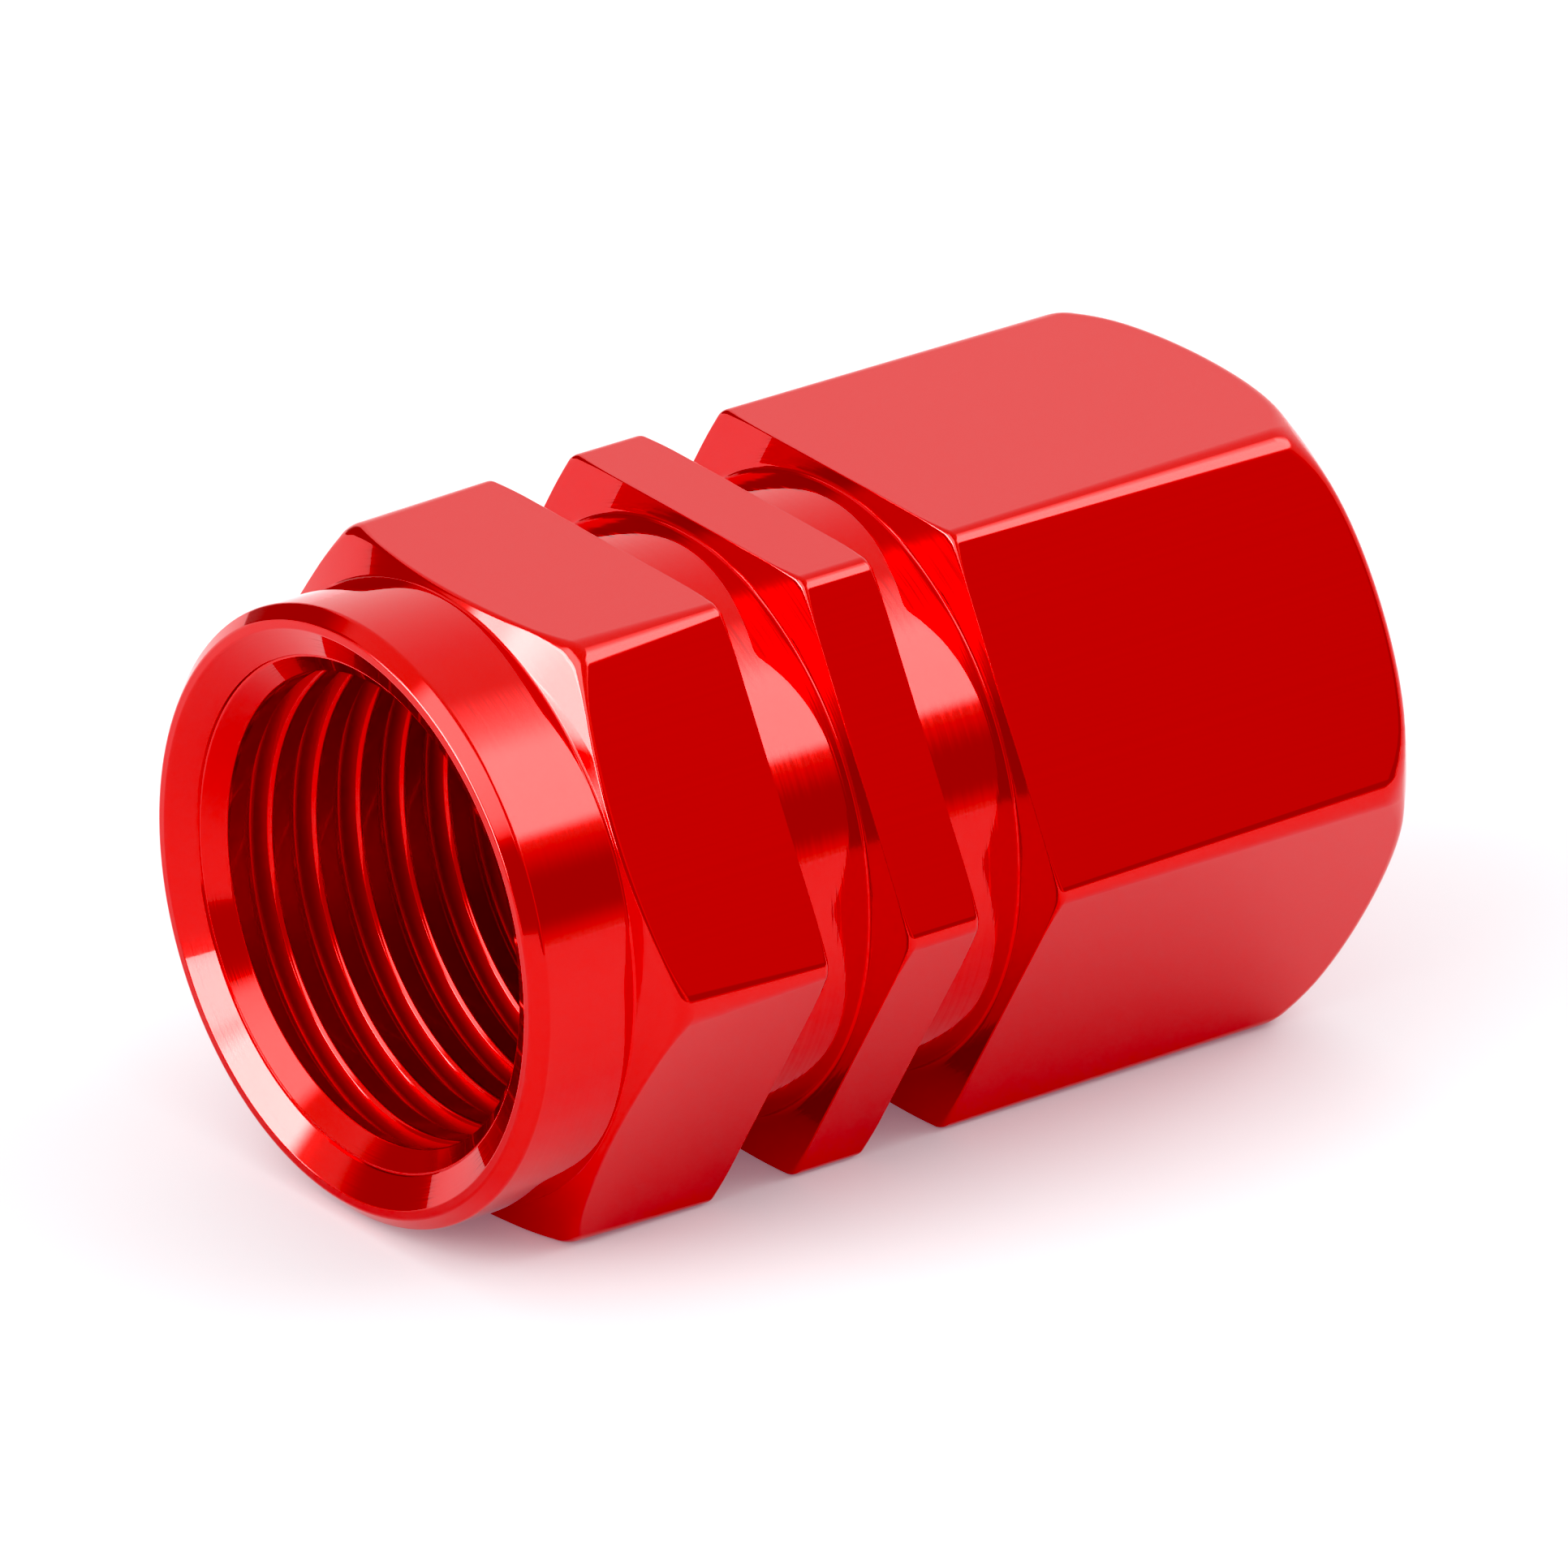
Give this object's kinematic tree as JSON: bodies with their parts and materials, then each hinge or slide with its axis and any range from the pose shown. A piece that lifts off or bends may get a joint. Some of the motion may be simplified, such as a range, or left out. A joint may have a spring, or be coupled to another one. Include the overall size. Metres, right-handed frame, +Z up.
{
  "type": "tyre valve cap",
  "caption": "Hexagonal anodised aluminium dust cap with grooved grip flats, a rounded head and a blind threaded hole with a rubber washer, screwed onto a tyre valve stem.",
  "frame": {"origin": "on the surface that the cap lies on, under the middle of its length and of its width", "axes": "+Z up; +Y along the cap's axis from the open mouth to the closed head; +X to the side, through a corner of the hexagon"},
  "size_m": [0.0108, 0.016, 0.0095],
  "materials": {
    "red_anodised": "glossy red anodised, with fine turning marks in the grooves and at the mouth",
    "black_rubber": "matt moulded rubber"
  },
  "bodies": {
    "root": {"cap_body": "red_anodised", "sealing_washer": "black_rubber"}
  },
  "joints": []
}
